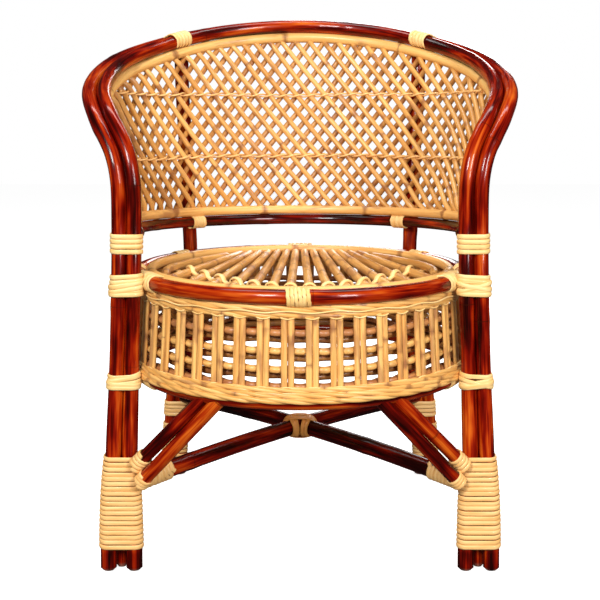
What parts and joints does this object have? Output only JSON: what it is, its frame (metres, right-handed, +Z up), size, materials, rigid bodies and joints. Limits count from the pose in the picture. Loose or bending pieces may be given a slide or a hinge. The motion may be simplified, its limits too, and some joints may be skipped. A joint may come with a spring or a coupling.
{
  "type": "barrel armchair",
  "caption": "Barrel armchair of bent rattan poles: dark hoops form legs, arms and back round a diagonal lattice, over a round drum seat with a slatted apron and cross stretchers.",
  "frame": {"origin": "middle of the chair's footprint box, on the floor", "axes": "+Z up, -Y toward the front of the seat, +X to the right seen from the front"},
  "size_m": [0.6698, 0.6076, 0.836],
  "materials": {
    "dark_lacquer": "gloss dark red-brown lacquer over bent pole, mottled",
    "natural_rattan": "clear satin over natural honey rattan",
    "cane_strip": "satin pale cane strip"
  },
  "bodies": {
    "root": {"apron_border_upper": "natural_rattan", "apron_level_rods_lower": "natural_rattan", "apron_level_rods_upper": "natural_rattan", "apron_slats": "natural_rattan", "arm_hoop_inner": "dark_lacquer", "arm_hoop_outer": "dark_lacquer", "back_rail": "dark_lacquer", "drum_foot_ring": "dark_lacquer", "drum_lashing_left": "cane_strip", "drum_lashing_right": "cane_strip", "foot_lashing_left": "cane_strip", "foot_lashing_right": "cane_strip", "foot_pole_left": "dark_lacquer", "foot_pole_right": "dark_lacquer", "front_brace_left": "dark_lacquer", "front_brace_right": "dark_lacquer", "lattice_back_rods": "natural_rattan", "lattice_frame": "natural_rattan", "lattice_front_rods": "natural_rattan", "lattice_rail": "natural_rattan", "rail_lashing_left": "cane_strip", "rail_lashing_right": "cane_strip", "rail_tie_left": "cane_strip", "rail_tie_right": "cane_strip", "rear_lashing_left": "cane_strip", "rear_lashing_right": "cane_strip", "rear_pole_left": "dark_lacquer", "rear_pole_right": "dark_lacquer", "rear_post_left": "dark_lacquer", "rear_post_right": "dark_lacquer", "seat_binding": "cane_strip", "seat_front_tie": "cane_strip", "seat_inner_ring": "natural_rattan", "seat_lashing_left": "cane_strip", "seat_lashing_right": "cane_strip", "seat_ring": "dark_lacquer", "seat_rod_01": "natural_rattan", "seat_rod_02": "natural_rattan", "seat_rod_03": "natural_rattan", "seat_rod_04": "natural_rattan", "seat_rod_05": "natural_rattan", "seat_rod_06": "natural_rattan", "seat_rod_07": "natural_rattan", "seat_rod_08": "natural_rattan", "seat_rod_09": "natural_rattan", "seat_rod_10": "natural_rattan", "seat_rod_11": "natural_rattan", "seat_rod_12": "natural_rattan", "seat_rod_13": "natural_rattan", "seat_rod_14": "natural_rattan", "seat_side_rod_left": "natural_rattan", "seat_side_rod_right": "natural_rattan", "seat_support": "natural_rattan", "side_brace_left": "dark_lacquer", "side_brace_right": "dark_lacquer", "stretcher_knot": "cane_strip", "stretcher_left": "dark_lacquer", "stretcher_right": "dark_lacquer", "top_lashing_left": "cane_strip", "top_lashing_right": "cane_strip"}
  },
  "joints": []
}
